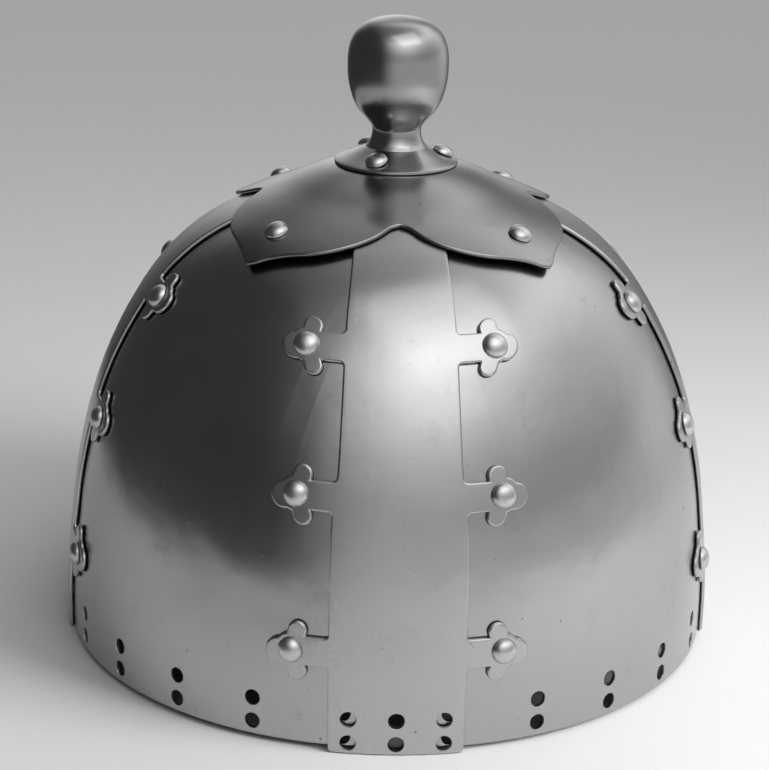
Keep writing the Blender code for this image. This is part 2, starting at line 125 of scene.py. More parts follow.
# Hammered dents: their depth, their width, and where they fade out at rim and finial
BAND_DENT = 0.00010
PLATE_DENT = 0.00016
CAP_DENT = 0.00010
BOWL_DENT_SIZE = 0.022
CAP_DENT_SIZE = 0.020
RIM_CALM = 0.03
CAP_CALM = 0.022
CAP_CALM_FADE = 0.01

# Black from the fire on the inner faces, and the same black as painted shade on a plate under a
# band: full up to one distance from the band's middle, gone by another
FIRE_BLACK_AND_SHADE = (0.055, 0.052, 0.050, 1.0)
BAND_SHADE_FULL = 0.0045
BAND_SHADE_GONE = 0.0150

# Stage and camera; turns in degrees, lens and sensor in millimetres
TABLE_RADIUS = 0.42
TABLE_DROP = 0.0002
FLOOR_DROP = 0.0006
FLOOR_SIZE = 4.0
PALE_GREY = (0.56, 0.56, 0.56, 1.0)
CAMERA_PLACE = (-0.0251, -0.6919, 0.3177)
CAMERA_TURN = 1.90
CAMERA_TILT = 18.88
CAMERA_ROLL = 1.25
CAMERA_LENS = 101.1
SENSOR_WIDTH = 36.0

# height / DOME_HEIGHT, radius / RIM_RADIUS
DOME_LINE = (
    (0.000, 1.000), (0.127, 0.997), (0.253, 0.979), (0.380, 0.954), (0.506, 0.911),
    (0.601, 0.861), (0.696, 0.792), (0.772, 0.721), (0.835, 0.637), (0.886, 0.533),
    (0.918, 0.439), (0.949, 0.330), (0.9725, 0.256), (0.9915, 0.180), (0.999, 0.090),
    (1.000, 0.000),
)

# height / DOME_HEIGHT, width / BAND_WIDTH
BAND_TAPER = (
    (0.00, 1.00), (0.24, 1.01), (0.46, 0.99), (0.54, 0.91),
    (0.66, 0.86), (0.79, 0.81), (0.91, 0.70), (1.00, 0.64),
)

# angle / half a quarter turn, radius / CAP_REACH
CAP_EDGE = (
    (0.00, 0.658), (0.08, 0.680), (0.17, 0.736), (0.30, 0.797), (0.45, 0.850),
    (0.60, 0.889), (0.76, 0.918), (0.88, 0.953), (0.95, 0.985), (1.00, 1.000),
)

# height / FINIAL_RISE, radius / KNOB_RADIUS, from the crease on the flange up
KNOB_LINE = (
    (0.119, 0.612), (0.146, 0.550), (0.186, 0.501), (0.224, 0.483), (0.252, 0.493),
    (0.279, 0.535), (0.321, 0.640), (0.360, 0.745),
    (0.402, 0.824), (0.444, 0.883), (0.484, 0.922), (0.525, 0.955), (0.566, 0.979),
    (0.620, 0.996), (0.690, 1.000), (0.740, 0.996), (0.790, 0.974), (0.830, 0.940),
    (0.870, 0.888), (0.905, 0.815), (0.935, 0.715), (0.960, 0.600), (0.980, 0.440),
    (0.993, 0.250), (0.998, 0.125),
)

BAND_OUT = 0.0
PLATE_OUT = -BAND_SHEET - SEAT_GAP
PLATE_IN = PLATE_OUT - PLATE_SHEET
CAP_OUT = SEAT_GAP + CAP_SHEET
FLANGE_SEAT = CAP_OUT + SEAT_GAP


def along(table, at):
    """Smooth value of a two column table at a place in its first column."""
    last = len(table) - 1
    i = 0
    while i < last - 1 and table[i + 1][0] < at:
        i += 1

    def slope(k):
        a, b = table[max(k - 1, 0)], table[min(k + 1, last)]
        return (b[1] - a[1]) / (b[0] - a[0])

    (x0, y0), (x1, y1) = table[i], table[i + 1]
    span = x1 - x0
    t = min(max((at - x0) / span, 0.0), 1.0)
    return (y0 * (2 * t**3 - 3 * t**2 + 1) + slope(i) * span * (t**3 - 2 * t**2 + t)
            + y1 * (3 * t**2 - 2 * t**3) + slope(i + 1) * span * (t**3 - t**2))


class Bowl:
    """Smooth line of the bowl, followed by its length from the rim."""

    def __init__(self):
        knots = [Vector((r * RIM_RADIUS, h * DOME_HEIGHT)) for h, r in DOME_LINE]
        chords = [(b - a).length for a, b in zip(knots, knots[1:])]
        slopes = [Vector((0.0, 1.0))]
        for i in range(1, len(knots) - 1):
            before = (knots[i] - knots[i - 1]) / chords[i - 1]
            after = (knots[i + 1] - knots[i]) / chords[i]
            slopes.append(before.lerp(after, chords[i - 1] / (chords[i - 1] + chords[i])))
        slopes.append(Vector((-1.0, 0.0)))
        self.points = [knots[0]]
        for i, chord in enumerate(chords):
            for step in range(1, BOWL_STEPS + 1):
                t = step / BOWL_STEPS
                self.points.append(
                    knots[i] * (2 * t**3 - 3 * t**2 + 1)
                    + slopes[i] * chord * (t**3 - 2 * t**2 + t)
                    + knots[i + 1] * (3 * t**2 - 2 * t**3)
                    + slopes[i + 1] * chord * (t**3 - t**2)
                )
        self.lengths = [0.0]
        for a, b in zip(self.points, self.points[1:]):
            self.lengths.append(self.lengths[-1] + (b - a).length)
        last = len(self.points) - 1
        self.normals = []
        for i in range(last + 1):
            ahead = self.points[min(i + NORMAL_REACH, last)]
            run = ahead - self.points[max(i - NORMAL_REACH, 0)]
            self.normals.append(Vector((run.y, -run.x)).normalized())
        self.normals[0] = Vector((1.0, 0.0))
        self.normals[last] = Vector((0.0, 1.0))
        radii = [p.x for p in self.points]
        self.widest = radii.index(max(radii))

    def find(self, values, at, falling=False):
        """Neighbours of a value in a sorted list, and its share of the way between them."""
        low, high = 0, len(values) - 1
        while high - low > 1:
            middle = (low + high) // 2
            if (values[middle] > at) != falling:
                high = middle
            else:
                low = middle
        share = (at - values[low]) / ((values[high] - values[low]) or 1.0)
        return low, high, min(max(share, 0.0), 1.0)

    def at(self, length):
        """Point and outward normal, as radius and height, at a length from the rim."""
        low, high, share = self.find(self.lengths, length)
        point = self.points[low].lerp(self.points[high], share)
        return point, self.normals[low].lerp(self.normals[high], share).normalized()

    def length_at_height(self, height):
        low, high, share = self.find([p.y for p in self.points], height)
        return self.lengths[low] + (self.lengths[high] - self.lengths[low]) * share

    def length_at_radius(self, radius):
        """Length to the place above the widest part where the bowl has this radius."""
        radii = [p.x for p in self.points[self.widest:]]
        low, high, share = self.find(radii, radius, falling=True)
        start, end = self.lengths[self.widest + low], self.lengths[self.widest + high]
        return start + (end - start) * share

    def radius(self, length):
        return self.at(length)[0].x

    def place(self, azimuth, length, offset=0.0):
        """Point of space at an azimuth, a length from the rim and an offset outwards."""
        point, normal = self.at(length)
        radius = point.x + normal.x * offset
        height = point.y + normal.y * offset
        return Vector((radius * math.sin(azimuth), -radius * math.cos(azimuth), height))

    def outward(self, azimuth, length):
        normal = self.at(length)[1]
        return Vector((normal.x * math.sin(azimuth), -normal.x * math.cos(azimuth), normal.y))


BOWL = Bowl()


def hammered(point, depth, size):
    """Small rise or dent left by the hammer at a point, with finer ones over it."""
    return depth * noise.noise(point / size) + depth * 0.5 * noise.noise(point * 2.3 / size)


def strip(centre, depth):
    """Bending rule for a sheet laid out as arc from its centre line and length up the bowl."""

    def bend(point):
        azimuth = centre + point.x / BOWL.radius(point.y)
        fade = min(max(point.y / RIM_CALM, 0.0), 1.0)
        dent = hammered(BOWL.place(azimuth, point.y), depth * fade, BOWL_DENT_SIZE)
        return BOWL.place(azimuth, point.y, point.z + dent)

    return bend


def crown(depth):
    """Bending rule for the cap, laid out in plan."""

    def bend(point):
        radius = math.hypot(point.x, point.y)
        azimuth = math.atan2(point.x, -point.y)
        length = BOWL.length_at_radius(radius)
        fade = min(max((radius - CAP_CALM) / CAP_CALM_FADE, 0.0), 1.0)
        dent = hammered(BOWL.place(azimuth, length), depth * fade, CAP_DENT_SIZE)
        return BOWL.place(azimuth, length, point.z + dent)

    return bend


def blank(outline):
    """Flat blank of sheet, its outline anticlockwise and its square corners filed round."""
    model = bmesh.new()
    face = model.faces.new([model.verts.new((x, y, 0.0)) for x, y in outline])
    square = [
        loop.vert for loop in face.loops
        if abs(math.pi - loop.calc_angle()) > CORNER_TURN
        and min(edge.calc_length() for edge in loop.vert.link_edges) > 1.5 * CORNER_ROUND
    ]
    bmesh.ops.bevel(
        model, geom=square, offset=CORNER_ROUND, offset_type="OFFSET", segments=5, profile=0.5,
        affect="VERTICES", material=-1,
    )
    return model


def score(model, axis, places):
    """Cut every face along lines across one axis."""
    normal = Vector((1.0, 0.0, 0.0)) if axis == 0 else Vector((0.0, 1.0, 0.0))
    for place in places:
        bmesh.ops.bisect_plane(
            model, geom=model.verts[:] + model.edges[:] + model.faces[:], dist=1e-6,
            plane_co=normal * place, plane_no=normal,
        )


def punch(model, spots, bore):
    """Punch round holes, each in a square that was scored round it."""
    for x, y in spots:
        square = [
            face for face in model.faces
            if abs(face.calc_center_median().x - x) < PUNCH_MARGIN
            and abs(face.calc_center_median().y - y) < PUNCH_MARGIN
        ]
        border = {
            edge for face in square for edge in face.edges
            if len([f for f in edge.link_faces if f in square]) == 1
        }
        bmesh.ops.delete(model, geom=square, context="FACES_ONLY")
        round_hole = bmesh.ops.create_circle(
            model, cap_ends=False, segments=LACE_SIDES, radius=bore / 2,
            matrix=Matrix.Translation((x, y, 0.0)),
        )["verts"]
        rim = {edge for vert in round_hole for edge in vert.link_edges}
        bmesh.ops.bridge_loops(model, edges=list(border | rim))
    loose = [edge for edge in model.edges if not edge.link_faces]
    bmesh.ops.delete(model, geom=loose, context="EDGES")


def file_round(model, rims, size, segments):
    """Round edges of a sheet with a file."""
    bmesh.ops.bevel(
        model, geom=rims, offset=size, offset_type="OFFSET", segments=segments, profile=0.5,
        affect="EDGES", material=-1, clamp_overlap=False,
    )


def thicken(model, spots, outer, thickness):
    """Give the blank its thickness and round its edges; its outer face ends at outer."""
    bmesh.ops.recalc_face_normals(model, faces=model.faces[:])
    if model.faces[:][0].normal.z < 0:
        bmesh.ops.reverse_faces(model, faces=model.faces[:])
    made = bmesh.ops.extrude_face_region(model, geom=model.faces[:])["geom"]
    lifted = [item for item in made if isinstance(item, bmesh.types.BMVert)]
    bmesh.ops.translate(model, verts=lifted, vec=(0.0, 0.0, thickness))
    bmesh.ops.translate(model, verts=model.verts[:], vec=(0.0, 0.0, outer - thickness))
    bmesh.ops.recalc_face_normals(model, faces=model.faces[:])
    model.normal_update()
    rims, holes, backs = [], [], []
    for edge in model.edges:
        a, b = (vert.co for vert in edge.verts)
        if edge.calc_face_angle(0.0) < EDGE_TURN or abs(a.z - b.z) > 1e-7:
            continue
        if a.z < outer - thickness / 2:
            backs.append(edge)
        elif any(math.hypot(a.x - x, a.y - y) < 0.6 * LACE_BORE for x, y in spots):
            holes.append(edge)
        else:
            rims.append(edge)
    file_round(model, backs, INNER_ROUND, 1)
    file_round(model, [edge for edge in holes if edge.is_valid], HOLE_ROUND, 2)
    file_round(model, [edge for edge in rims if edge.is_valid], OUTER_ROUND, 4)
    inner = model.verts.layers.float.new("inner")
    for vert in model.verts:
        vert[inner] = 1.0 if vert.co.z < outer - thickness * 0.8 else 0.0


def steps_between(start, stop, step, avoid=()):
    """Even places between two others, leaving out those too close to a place to avoid."""
    count = max(int(round((stop - start) / step)), 1)
    places = [start + (stop - start) * k / count for k in range(1, count)]
    return [p for p in places if all(abs(p - other) > 0.25 * step for other in avoid)]


def rows_up(start, stop, step):
    """Even places from one to another, both included."""
    return [start] + steps_between(start, stop, step) + [stop]


def bend_all(model, rule):
    for vert in model.verts:
        vert.co = rule(vert.co)
    model.normal_update()


def finished(node, model, material):
    """Turn a finished mesh into a piece that takes the place of a plain one."""
    name = "finished_" + node
    mesh = bpy.data.meshes.new(name)
    model.to_mesh(mesh)
    model.free()
    mesh.shade_smooth()
    mesh.set_sharp_from_angle(angle=math.radians(SHARP_ANGLE))
    piece = bpy.data.objects.new(name, mesh)
    bpy.context.scene.collection.objects.link(piece)
    mesh.materials.append(material)
    even = piece.modifiers.new("even_shading", "WEIGHTED_NORMAL")
    even.keep_sharp = True
    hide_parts(node)
    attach(piece, "root")


def band_half(length):
    """Half the width of a band at a length from the rim."""
    return BAND_WIDTH / 2 * along(BAND_TAPER, BOWL.at(length)[0].y / DOME_HEIGHT)


def tab_rivet_spot(level):
    """Arc from the band's middle, and length from the rim, of a tab's rivet."""
    length = BOWL.length_at_height(TAB_HEIGHTS[level])
    return band_half(length) + TAB_RIVET_OUT, length


def tab_reach(angle):
    """Distance from the rivet to the tab's edge, in the direction of an angle."""
    discs = (
        (0.0, 0.0, TAB_HUB_RADIUS),
        (-LOBE_BACK, LOBE_SPACING / 2, LOBE_RADIUS),
        (-LOBE_BACK, -LOBE_SPACING / 2, LOBE_RADIUS),
        (NOSE_OUT, -NOSE_DROP, NOSE_RADIUS),
    )
    toward = Vector((math.cos(angle), math.sin(angle)))
    reach = 0.0
    for x, y, radius in discs:
        ahead = toward.x * x + toward.y * y
        aside = toward.x * y - toward.y * x
        if abs(aside) < radius:
            reach = max(reach, ahead + math.sqrt(radius**2 - aside**2))
    return reach


def tab_edge():
    """Edge of one tab round its rivet, from the lower side of its stem to the upper side."""
    half = TAB_STEM_WIDTH / 2
    bite = math.sqrt(LOBE_RADIUS**2 - (LOBE_SPACING / 2 - half) ** 2)
    corner = LOBE_BACK + bite
    start = -math.pi + math.atan2(half, corner)
    count = int(round(-2 * start / math.radians(TAB_EDGE_STEP)))
    turns = [start - 2 * start * k / count for k in range(1, count)]
    edge = [(-corner, -half)]
    edge += [(tab_reach(a) * math.cos(a), tab_reach(a) * math.sin(a)) for a in turns]
    return edge + [(-corner, half)]


def band_side(top):
    """Right edge of a band with its three tabs, from the rim to its top."""
    half = TAB_STEM_WIDTH / 2
    edge = []
    last = 0.0
    for level in TAB_HEIGHTS:
        out, length = tab_rivet_spot(level)
        edge += [(band_half(s), s) for s in rows_up(last, length - half, BAND_EDGE_STEP)]
        edge += [(out + x, length + y) for x, y in tab_edge()]
        last = length + half
    edge += [(band_half(s), s) for s in rows_up(last, top, BAND_EDGE_STEP)]
    return edge


def lace_rows(low):
    """Lengths from the rim of the two rows of lace holes."""
    return [BOWL.length_at_height(low + row * LACE_ROW_STEP) for row in (0, 1)]


def beside(places):
    """Places of the scored lines on both sides of each hole."""
    return sorted({round(place + s * PUNCH_MARGIN, 6) for place in places for s in (-1, 1)})


def sheet_piece(node, outline, spots, rule, outer, thickness, material):
    """Cut, punch, thicken, score and bend one sheet of the bowl."""
    model = blank(outline)
    columns = beside([x for x, y in spots])
    rows = beside([y for x, y in spots])
    score(model, 0, columns)
    score(model, 1, rows)
    punch(model, spots, LACE_BORE)
    thicken(model, spots, outer, thickness)
    xs = [x for x, y in outline]
    ys = [y for x, y in outline]
    score(model, 0, steps_between(min(xs), max(xs), SCORE_STEP, columns))
    score(model, 1, steps_between(min(ys), max(ys), SCORE_STEP, rows))
    bend_all(model, rule)
    finished(node, model, material)


def make_band(name, centre, material):
    top = BOWL.length_at_radius(BAND_TOP_RADIUS)
    right = band_side(top)
    outline = right + [(-x, y) for x, y in reversed(right)]
    spots = [(c * BAND_LACE_PITCH, row) for row in lace_rows(BAND_LACE_LOW) for c in (-1, 0, 1)]
    sheet_piece(name, outline, spots, strip(centre, BAND_DENT), BAND_OUT, BAND_SHEET,
                material)


def make_plate(name, centre, forward, material):
    """Quarter plate; forward is 1 where azimuth grows from the near band, -1 where it falls."""
    near = centre - forward * QUARTER / 2
    low = BOWL.length_at_height(PLATE_RISE)
    top = BOWL.length_at_radius(PLATE_TOP_RADIUS)
    shift = PLATE_LAP / RIM_RADIUS

    def side(sign, length):
        return (shift + sign * QUARTER / 2) * BOWL.radius(length) - sign * PLATE_JOINT / 2

    rows = rows_up(low, top, PLATE_EDGE_STEP)
    outline = [(side(1, s), s) for s in rows] + [(side(-1, s), s) for s in reversed(rows)]
    outer = RIM_RADIUS + PLATE_OUT
    columns = int((QUARTER * outer - LACE_FIRST - LACE_BORE * 2) / LACE_PITCH) + 1
    pairs = [(HIDDEN_LACE_OUT, HIDDEN_LACE_LOW)]
    pairs += [(LACE_FIRST + column * LACE_PITCH, PLATE_LACE_LOW) for column in range(columns)]
    spots = []
    for out, height in pairs:
        for row in lace_rows(height):
            spots.append(((near + forward * out / outer - centre) * BOWL.radius(row), row))
    under_band = lace_rows(BAND_LACE_LOW)[1]
    spots.append((QUARTER / 2 * BOWL.radius(under_band), under_band))
    sheet_piece(name, outline, spots, strip(centre, PLATE_DENT), PLATE_OUT, PLATE_SHEET,
                material)


def make_cap(material):
    outline = []
    for quarter in range(4):
        for k in range(2 * CAP_EDGE_STEPS):
            share = k / CAP_EDGE_STEPS
            reach = along(CAP_EDGE, share if share <= 1.0 else 2.0 - share) * CAP_REACH
            azimuth = (quarter + share / 2) * QUARTER
            outline.append((reach * math.sin(azimuth), -reach * math.cos(azimuth)))
    model = blank(outline)
    thicken(model, [], CAP_OUT, CAP_SHEET)
    reach = max(x for x, y in outline)
    places = steps_between(-reach, reach, SCORE_STEP)
    score(model, 0, places)
    score(model, 1, places)
    bend_all(model, crown(CAP_DENT))
    finished("crown_cap", model, material)


def turn_up(node, profile, sides, matrix, material):
    """Spin a half section, from its top to its bottom on the axis, into a solid."""
    model = bmesh.new()
    verts = [model.verts.new((radius, 0.0, height)) for radius, height in profile]
    edges = [model.edges.new(pair) for pair in zip(verts, verts[1:])]
    bmesh.ops.spin(
        model, geom=verts + edges, cent=(0.0, 0.0, 0.0), axis=(0.0, 0.0, 1.0),
        angle=2 * math.pi, steps=sides, use_merge=True, use_duplicate=False,
    )
    bmesh.ops.remove_doubles(model, verts=model.verts[:], dist=1e-7)
    bmesh.ops.recalc_face_normals(model, faces=model.faces[:])
    bmesh.ops.transform(model, matrix=matrix, verts=model.verts[:])
    finished(node, model, material)


def standing(point, axis):
    """Placing of a piece that stands at a point, along an axis."""
    return Matrix.Translation(point) @ axis.to_track_quat("Z", "Y").to_matrix().to_4x4()


def make_rivet(node, seat, axis, grip, material, diameter=HEAD_DIAMETER, height=HEAD_HEIGHT):
    """Domed rivet, a little uneven, as the hammer leaves it."""
    chance = random.Random(node)
    head = diameter / 2
    shank = SHANK_DIAMETER / 2
    peen = PEEN_DIAMETER / 2
    low = -(grip + 2 * SEAT_GAP)
    profile = []
    for k in range(HEAD_ROWS + 1):
        turn = math.radians(90.0 * k / HEAD_ROWS)
        rise = height * math.cos(turn) ** 1.1 - HEAD_LIP
        profile.append((head * math.sin(turn) ** 0.92, rise))
    profile[0] = (0.0, height - HEAD_LIP)
    profile[-1] = (head, HEAD_LIP)
    profile += [(head - HEAD_LIP, -HEAD_SINK), (shank, -HEAD_SINK), (shank, low)]
    profile += [(peen - PEEN_FLARE, low), (peen, low - PEEN_LIP)]
    profile += [(peen * 0.75, low - PEEN_HEIGHT * 0.75)]
    profile += [(peen * 0.4, low - PEEN_HEIGHT * 0.95), (0.0, low - PEEN_HEIGHT)]
    lean = Vector((chance.uniform(-0.05, 0.05), chance.uniform(-0.05, 0.05), 0.0))
    leaning = (axis + lean).normalized()
    spun = Matrix.Rotation(chance.uniform(0.0, math.pi), 4, "Z")
    struck = (chance.uniform(0.96, 1.0), chance.uniform(0.93, 1.0), 1.0, 1.0)
    matrix = standing(seat + axis * SEAT_GAP, leaning) @ spun @ Matrix.Diagonal(struck)
    turn_up(node, profile, RIVET_SIDES, matrix, material)


def make_tab_rivets(name, centre, material):
    for level in TAB_HEIGHTS:
        out, length = tab_rivet_spot(level)
        for side, word in ((-1, "left"), (1, "right")):
            azimuth = centre + side * out / BOWL.radius(length)
            seat = BOWL.place(azimuth, length, BAND_OUT)
            make_rivet("tab_rivet_%s_%s_%s" % (name, word, level), seat,
                       BOWL.outward(azimuth, length), BAND_OUT - PLATE_IN, material)


def make_cap_rivets(material):
    length = BOWL.length_at_radius(CAP_RIVET_RADIUS)
    words = ("front_right", "back_right", "back_left", "front_left")
    for quarter, word in enumerate(words):
        turn = (quarter + 0.5) * QUARTER
        seat = BOWL.place(turn, length, CAP_OUT)
        make_rivet("cap_rivet_" + word, seat, BOWL.outward(turn, length), CAP_OUT - PLATE_IN,
                   material)


def flange_rim():
    """Height of the flange's underside at its rim."""
    length = BOWL.length_at_radius(FLANGE_RADIUS)
    return BOWL.place(0.0, length, FLANGE_SEAT).z


def make_finial(material, rivet_material):
    """Turned knob on its flange, and the rivets through the flange, square to its slope."""

    def lift(share):
        return DOME_HEIGHT + share * FINIAL_RISE

    low = flange_rim()
    profile = [(0.0, lift(1.0))]
    foot, top = KNOB_LINE[0][0], KNOB_LINE[-1][0]
    for k in range(KNOB_ROWS):
        height = top - (top - foot) * math.sin(math.pi / 2 * k / KNOB_ROWS) ** 2
        profile.append((along(KNOB_LINE, height) * KNOB_RADIUS, lift(height)))
    crease = Vector((CREASE_RADIUS, lift(foot)))
    profile.append((crease.x, crease.y))
    rim = Vector((FLANGE_RADIUS, low + FLANGE_EDGE))
    for k in range(1, FLANGE_ROWS):
        point = crease.lerp(rim, k / FLANGE_ROWS)
        sag = FLANGE_SAG * math.sin(math.pi * k / FLANGE_ROWS)
        profile.append((point.x, point.y - sag))
    within = rim.x - FLANGE_ROUND
    profile += [(within, rim.y), (rim.x, rim.y - FLANGE_ROUND)]
    profile += [(rim.x, low + FLANGE_ROUND), (within, low)]
    for share in (0.75, 0.5, 0.25):
        length = BOWL.length_at_radius(share * FLANGE_RADIUS)
        profile.append((share * FLANGE_RADIUS, BOWL.place(0.0, length, FLANGE_SEAT).z))
    profile.append((0.0, DOME_HEIGHT + FLANGE_SEAT))
    turn_up("finial", profile, KNOB_SIDES, Matrix(), material)

    share = (FINIAL_RIVET_RADIUS - crease.x) / (rim.x - crease.x)
    seat = crease.lerp(rim, share)
    slope = Vector((crease.y - rim.y, rim.x - crease.x)).normalized()
    inner = seat.copy()
    for _ in range(8):
        point, normal = BOWL.at(BOWL.length_at_radius(inner.x))
        inner -= slope * ((inner - point).dot(normal) - SEAT_GAP) / slope.dot(normal)
    slant = abs(slope.x * normal.y - slope.y * normal.x) / slope.dot(normal)
    grip = (seat - inner).length + slant * PEEN_DIAMETER / 2
    for index in range(FINIAL_RIVETS):
        turn = math.radians(FINIAL_RIVET_TURN) + 2 * math.pi * index / FINIAL_RIVETS
        ahead = Vector((math.sin(turn), -math.cos(turn), 0.0))
        point = ahead * seat.x + Vector((0.0, 0.0, seat.y))
        axis = ahead * slope.x + Vector((0.0, 0.0, slope.y))
        make_rivet("finial_rivet_%d" % (index + 1), point, axis, grip, rivet_material,
                   FINIAL_HEAD_DIAMETER, FINIAL_HEAD_HEIGHT)


class Field:
    """A shader socket that takes part in sums."""

    def __init__(self, tree, socket):
        self.tree = tree
        self.socket = socket

    def node(self, kind, settings=None, **inputs):
        made = self.tree.nodes.new("ShaderNode" + kind)
        for key, value in (settings or {}).items():
            if key == "stops":
                ramp = made.color_ramp
                while len(ramp.elements) < len(value):
                    ramp.elements.new(0.5)
                for element, (place, shade) in zip(ramp.elements, value):
                    element.position = place
                    element.color = (shade, shade, shade, 1.0)
            else:
                setattr(made, key, value)
        for key, value in inputs.items():
            index = int(key[1:]) if key[0] == "i" and key[1:].isdigit() else key.replace("_", " ")
            socket = made.inputs[index]
            if isinstance(value, Field):
                self.tree.links.new(value.socket, socket)
            else:
                socket.default_value = value
        return made

    def out(self, kind, settings=None, output=0, **inputs):
        return Field(self.tree, self.node(kind, settings, **inputs).outputs[output])

    def sum(self, operation, first, second=0.0):
        return self.out("Math", {"operation": operation}, i0=first, i1=second)

    def __add__(self, other):
        return self.sum("ADD", self, other)

    __radd__ = __add__

    def __sub__(self, other):
        return self.sum("SUBTRACT", self, other)

    def __rsub__(self, other):
        return self.sum("SUBTRACT", other, self)

    def __mul__(self, other):
        return self.sum("MULTIPLY", self, other)

    __rmul__ = __mul__

    def __pow__(self, other):
        return self.sum("POWER", self, other)

    def ramp(self, *stops):
        return self.out("ValToRGB", {"stops": stops}, Fac=self)

    def ease(self, start, stop, first, last):
        """Smooth change from a first value to a last one, between two places."""
        return self.out("MapRange", {"interpolation_type": "SMOOTHSTEP"}, i0=self,
                        i1=start, i2=stop, i3=first, i4=last)

    def mix(self, first, second):
        """Mix of two colours, by this value."""
        return self.out("Mix", {"data_type": "RGBA"}, output=2, i0=self, i6=first, i7=second)


def iron(name, light, dark, roughness, shade_under_bands=False, dents=1.3):
    """Forged iron, burnished bright outside and left black from the fire inside; plates also get
    painted shade darkening them under the bands.
    """
    material = bpy.data.materials.new(name)
    material.use_nodes = True
    tree = material.node_tree
    shader = tree.nodes["Principled BSDF"]
    place = Field(tree, tree.nodes.new("ShaderNodeTexCoord").outputs["Object"])

    def clouds(scale, detail, rough, shift):
        moved = place.out("Mapping", Vector=place, Location=(shift, shift * 0.7, 0.0))
        return place.out("TexNoise", Vector=moved, Scale=scale, Detail=detail, Roughness=rough)

    broad = clouds(scale=24.0, detail=5.0, rough=0.55, shift=3.0).ramp((0.30, 0.0), (0.72, 1.0))
    grain = clouds(scale=520.0, detail=5.0, rough=0.65, shift=1.0).ramp((0.35, 0.0), (0.68, 1.0))
    smudges = clouds(scale=62.0, detail=6.0, rough=0.68, shift=5.0).ramp((0.60, 0.0), (0.80, 1.0))
    pits = clouds(scale=430.0, detail=1.0, rough=0.5, shift=7.0).ramp((0.175, 1.0), (0.205, 0.0))
    slanted = place.out("Mapping", Vector=place, Rotation=(0.5, 0.3, 0.8), Scale=(1.0, 1.0, 0.05))
    scratches = place.out("TexNoise", Vector=slanted, Scale=520.0, Detail=1.0)
    scratches = scratches.ramp((0.775, 0.0), (0.80, 1.0))
    upright = place.out("Mapping", Vector=place, Scale=(1.0, 1.0, 0.06))
    rubbed = place.out("TexNoise", Vector=upright, Scale=650.0, Detail=3.0, Roughness=0.6)
    # scale: black from the fire on the inner faces; for plates it also carries the painted shade
    # under the bands
    scale = place.out("Attribute", {"attribute_name": "inner"}, output=2)
    if shade_under_bands:
        # Painted shade: darker towards the middle of each band, where the plate lies under it and
        # shows only through the lace holes
        across = place.out("SeparateXYZ", Vector=place)
        backward = place.out("SeparateXYZ", output=1, Vector=place)
        turn = place.sum("ARCTAN2", across, backward * -1.0) + math.pi
        from_band = place.sum("PINGPONG", turn, QUARTER / 2) * RIM_RADIUS
        painted_band_shade = from_band.ease(BAND_SHADE_FULL, BAND_SHADE_GONE, 0.85, 0.0)
        scale = place.sum("MAXIMUM", scale, painted_band_shade)

    shade = broad * 0.55 + grain * 0.10 + rubbed * 0.25 + scratches * 0.6
    marks = place.sum("MAXIMUM", pits * 0.75, smudges * 0.28)
    base = shade.mix((*dark, 1.0), (*light, 1.0))
    base = marks.mix(base, (*(0.30 * value for value in dark), 1.0))
    # Fire black on the inner faces, and painted shade on plates under the bands
    base = scale.mix(base, FIRE_BLACK_AND_SHADE)
    tree.links.new(base.socket, shader.inputs["Base Color"])
    rough = broad * 0.06 + marks * 0.20 + scale * 0.30 + (roughness - 0.03)
    tree.links.new(rough.socket, shader.inputs["Roughness"])
    shader.inputs["Metallic"].default_value = 1.0
    uneven = clouds(scale=95.0, detail=2.0, rough=0.5, shift=9.0)
    relief = uneven * dents - pits * 1.2 - scratches * 0.4
    bump = place.node("Bump", Height=relief, Strength=0.10, Distance=0.0005)
    tree.links.new(bump.outputs["Normal"], shader.inputs["Normal"])
    return material


def pale_paint():
    material = bpy.data.materials.new("pale_table")
    material.use_nodes = True
    shader = material.node_tree.nodes["Principled BSDF"]
    shader.inputs["Base Color"].default_value = PALE_GREY
    shader.inputs["Roughness"].default_value = 0.8
    return material


def ground(name, model, height, paint):
    """Flat piece of the stage at a height."""
    bmesh.ops.translate(model, verts=model.verts[:], vec=(0.0, 0.0, height))
    mesh = bpy.data.meshes.new(name)
    model.to_mesh(mesh)
    model.free()
    mesh.materials.append(paint)
    flat = bpy.data.objects.new(name, mesh)
    bpy.context.scene.collection.objects.link(flat)
    return flat


def make_floor():
    """Round table top, and a wide floor of the same paint that stays out of reflections."""
    paint = pale_paint()
    model = bmesh.new()
    bmesh.ops.create_circle(model, cap_ends=True, segments=96, radius=TABLE_RADIUS)
    ground("table_top", model, -TABLE_DROP, paint)
    model = bmesh.new()
    bmesh.ops.create_grid(model, x_segments=1, y_segments=1, size=FLOOR_SIZE)
    wide = ground("wide_floor", model, -FLOOR_DROP, paint)
    wide.visible_glossy = False


def soft_light(name, place, aim, size, power):
    """Square lamp that faces a point."""
    light = bpy.data.lights.new(name, "AREA")
    light.size = size
    light.energy = power
    lamp = bpy.data.objects.new(name, light)
    away = Vector(place) - Vector(aim)
    lamp.location = place
    lamp.rotation_euler = away.to_track_quat("Z", "Y").to_euler()
    bpy.context.scene.collection.objects.link(lamp)
    return lamp


